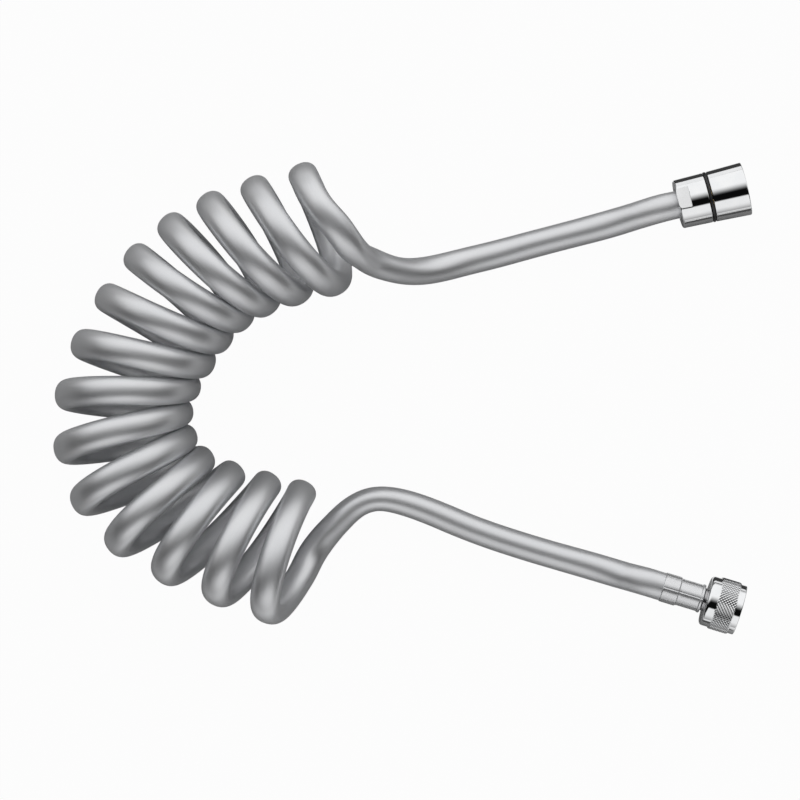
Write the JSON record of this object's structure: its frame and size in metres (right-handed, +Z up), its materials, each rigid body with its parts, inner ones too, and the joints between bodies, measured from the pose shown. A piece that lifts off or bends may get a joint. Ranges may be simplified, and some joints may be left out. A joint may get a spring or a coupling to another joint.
{
  "type": "spiral shower hose",
  "caption": "Smooth hose wound into a C-shaped spiral with straight ends, a conical swivel union nut for a handset and a knurled union nut for the water outlet.",
  "frame": {"origin": "on the floor, midway between the two end fittings", "axes": "+Z up from the floor, +Y from the outlet fitting to the handset fitting, -X towards the coil"},
  "size_m": [0.3339, 0.2297, 0.0661],
  "materials": {
    "silver_hose": "silver-grey satin PVC, smooth",
    "silver_plastic": "silver-grey moulded plastic, satin",
    "chrome": "bright chrome plating on brass",
    "steel": "plain stainless sleeve",
    "brass": "turned brass",
    "nickel": "dull nickel plating on brass",
    "black_plastic": "black acetal ring",
    "rubber": "black rubber washer"
  },
  "bodies": {
    "hose": {"hose_coil": "silver_hose", "hose_tail_handset": "silver_hose", "hose_tail_outlet": "silver_hose", "handset_collar": "chrome", "handset_crimp_sleeve": "steel", "handset_slip_ring": "black_plastic", "handset_nipple": "brass", "outlet_sleeve": "silver_plastic", "outlet_nipple": "nickel"},
    "cone_nut": {"handset_cone_nut": "chrome", "handset_washer": "rubber"},
    "knurled_nut": {"outlet_knurled_nut": "chrome", "outlet_washer": "rubber"}
  },
  "joints": [
    {"name": "cone_nut_turn", "type": "hinge", "parent": "hose", "child": "cone_nut", "pos_m": [0.01134, 0.09863, 0.01285], "axis": [0.9736, 0.2284, 0], "continuous": true},
    {"name": "knurled_nut_turn", "type": "hinge", "parent": "hose", "child": "knurled_nut", "pos_m": [0.00848, -0.0993, 0.01285], "axis": [0.9563, -0.2924, 0], "continuous": true}
  ]
}
